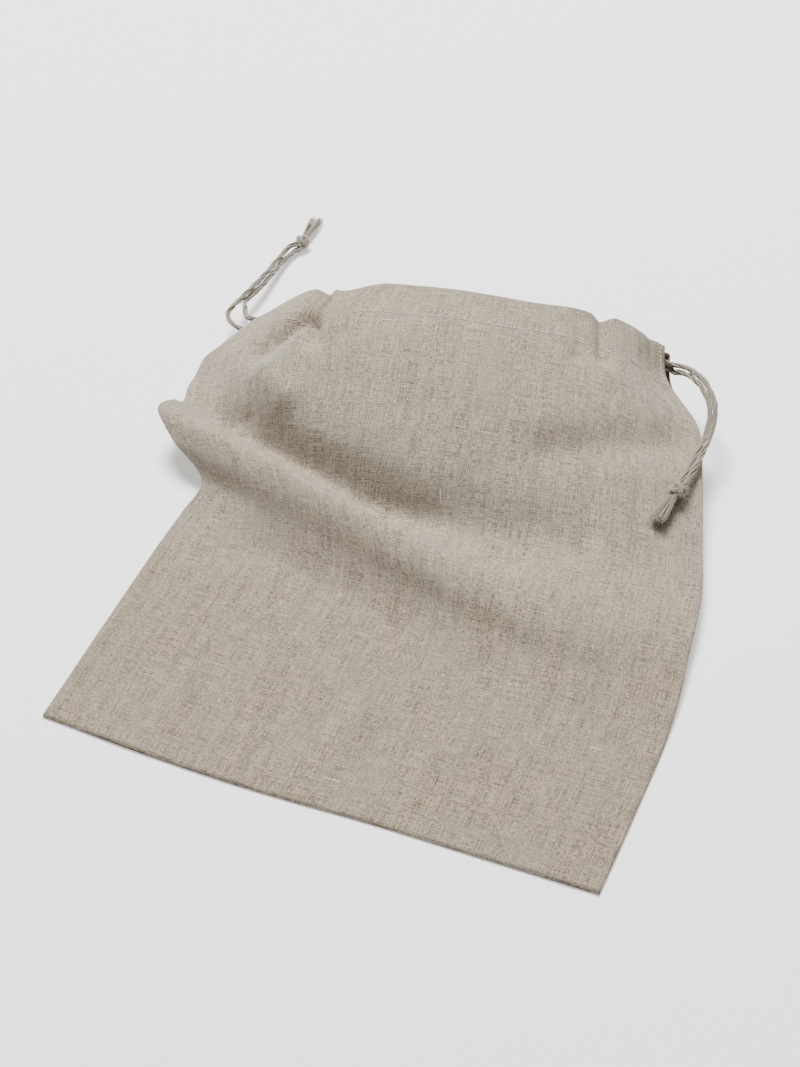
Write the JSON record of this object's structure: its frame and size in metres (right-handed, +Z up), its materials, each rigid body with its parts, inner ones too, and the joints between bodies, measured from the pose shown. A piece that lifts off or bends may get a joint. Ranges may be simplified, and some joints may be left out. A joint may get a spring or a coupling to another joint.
{
  "type": "linen bread bag",
  "caption": "Undyed linen draw-cord bag, laid down with a soft roll across it, a domed upper half and an open mouth, with knotted cord ends at both sides.",
  "frame": {"origin": "middle of the bag's footprint, on the surface it lies on", "axes": "+Z up, +Y from the closed end towards the mouth, +X from the left side seam to the right one, seen from the closed end"},
  "size_m": [0.4604, 0.5905, 0.0864],
  "materials": {
    "linen_cloth": "plain-woven undyed linen with slubs, matt, greige",
    "linen_cord": "plied linen cord, matt, a little darker than the cloth"
  },
  "bodies": {
    "root": {"front_panel": "linen_cloth", "back_panel": "linen_cloth", "left_cord_outer": "linen_cord", "left_cord_inner": "linen_cord", "left_knot": "linen_cord", "left_tassel": "linen_cord", "right_cord_outer": "linen_cord", "right_cord_inner": "linen_cord", "right_knot": "linen_cord", "right_tassel": "linen_cord"}
  },
  "joints": []
}
